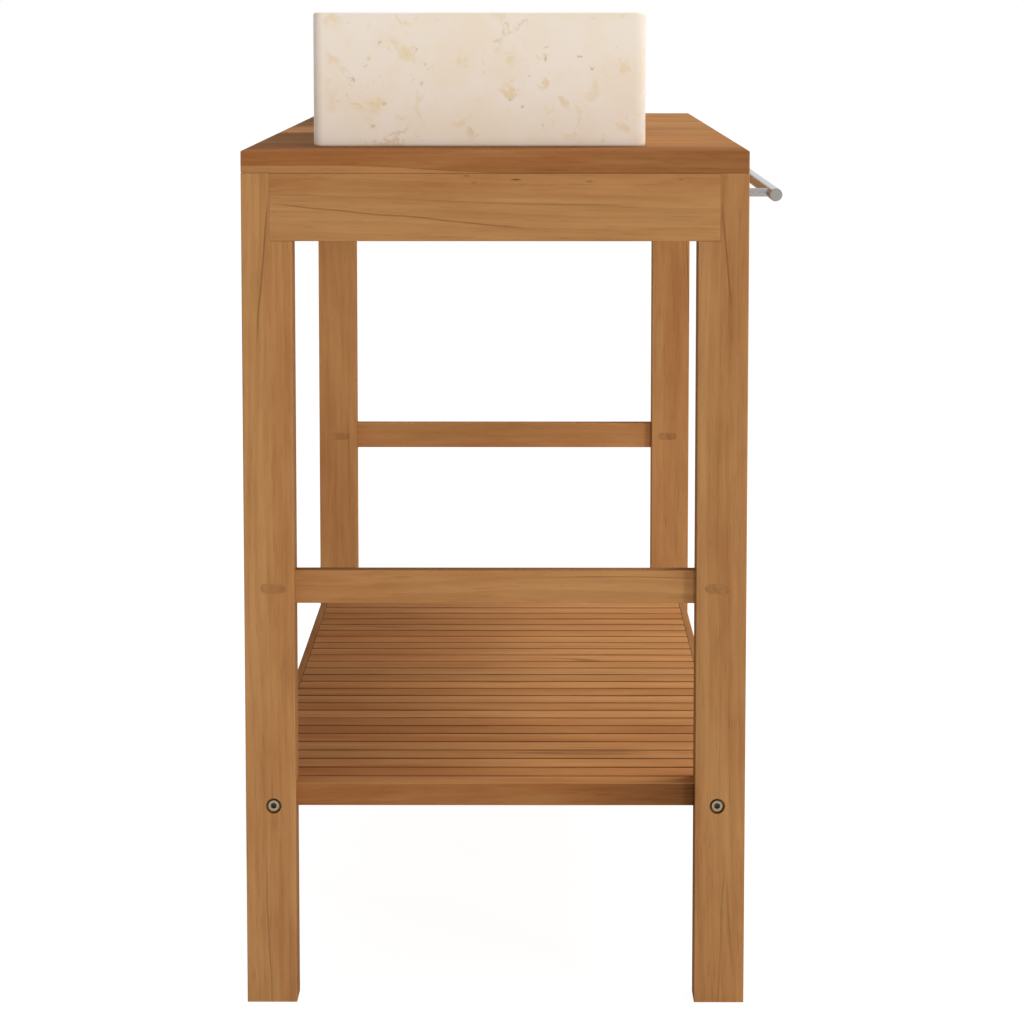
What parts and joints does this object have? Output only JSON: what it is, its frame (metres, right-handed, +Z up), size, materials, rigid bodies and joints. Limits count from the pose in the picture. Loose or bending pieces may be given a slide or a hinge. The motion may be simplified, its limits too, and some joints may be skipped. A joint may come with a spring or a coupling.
{
  "type": "double vanity stand",
  "caption": "Hardwood table stand with a slatted shelf, square stone basins with pop-up wastes on top and a steel towel bar along the front.",
  "frame": {"origin": "on the floor, under the middle of the whole object with its towel bar", "axes": "+X along the stand, -Y towards the front with the towel bar, +Z up"},
  "size_m": [1.32, 0.485, 0.891],
  "materials": {
    "teak": "satin",
    "stone": "satin",
    "bar_steel": "satin",
    "fastener_steel": "satin",
    "waste_chrome": "polished",
    "seal_rubber": "matte"
  },
  "bodies": {
    "stand": {"barrel_nuts": "fastener_steel", "basin_left": "stone", "basin_right": "stone", "front_apron": "teak", "leg_front_left": "teak", "leg_front_right": "teak", "leg_rear_left": "teak", "leg_rear_right": "teak", "rear_apron": "teak", "shelf_bolts": "fastener_steel", "shelf_end_rail_left": "teak", "shelf_end_rail_right": "teak", "shelf_rail_front": "teak", "shelf_rail_rear": "teak", "shelf_slat_01": "teak", "shelf_slat_02": "teak", "shelf_slat_03": "teak", "shelf_slat_04": "teak", "shelf_slat_05": "teak", "shelf_slat_06": "teak", "shelf_slat_07": "teak", "shelf_slat_08": "teak", "shelf_slat_09": "teak", "shelf_slat_10": "teak", "shelf_slat_11": "teak", "shelf_slat_12": "teak", "shelf_slat_13": "teak", "shelf_slat_14": "teak", "shelf_slat_15": "teak", "shelf_slat_16": "teak", "shelf_slat_17": "teak", "shelf_slat_18": "teak", "shelf_slat_19": "teak", "shelf_slat_20": "teak", "shelf_slat_21": "teak", "shelf_slat_22": "teak", "shelf_slat_23": "teak", "shelf_slat_24": "teak", "shelf_slat_25": "teak", "shelf_slat_26": "teak", "shelf_slat_27": "teak", "shelf_slat_28": "teak", "shelf_slat_29": "teak", "side_apron_left": "teak", "side_apron_right": "teak", "side_stretcher_left": "teak", "side_stretcher_right": "teak", "stretcher_keys": "teak", "top_panel": "teak", "towel_bar": "bar_steel", "towel_bar_posts": "bar_steel", "towel_bar_screws": "fastener_steel", "waste_body_left": "waste_chrome", "waste_body_right": "waste_chrome", "waste_locknuts": "waste_chrome", "waste_seals": "seal_rubber", "wood_screws": "fastener_steel"},
    "plug_left": {"waste_plug_left": "waste_chrome"},
    "plug_right": {"waste_plug_right": "waste_chrome"}
  },
  "joints": [
    {"name": "plug_left_lift", "type": "slide", "parent": "stand", "child": "plug_left", "axis": [0, 0, 1], "range_m": [0, 0.009]},
    {"name": "plug_right_lift", "type": "slide", "parent": "stand", "child": "plug_right", "axis": [0, 0, 1], "range_m": [0, 0.009]}
  ]
}
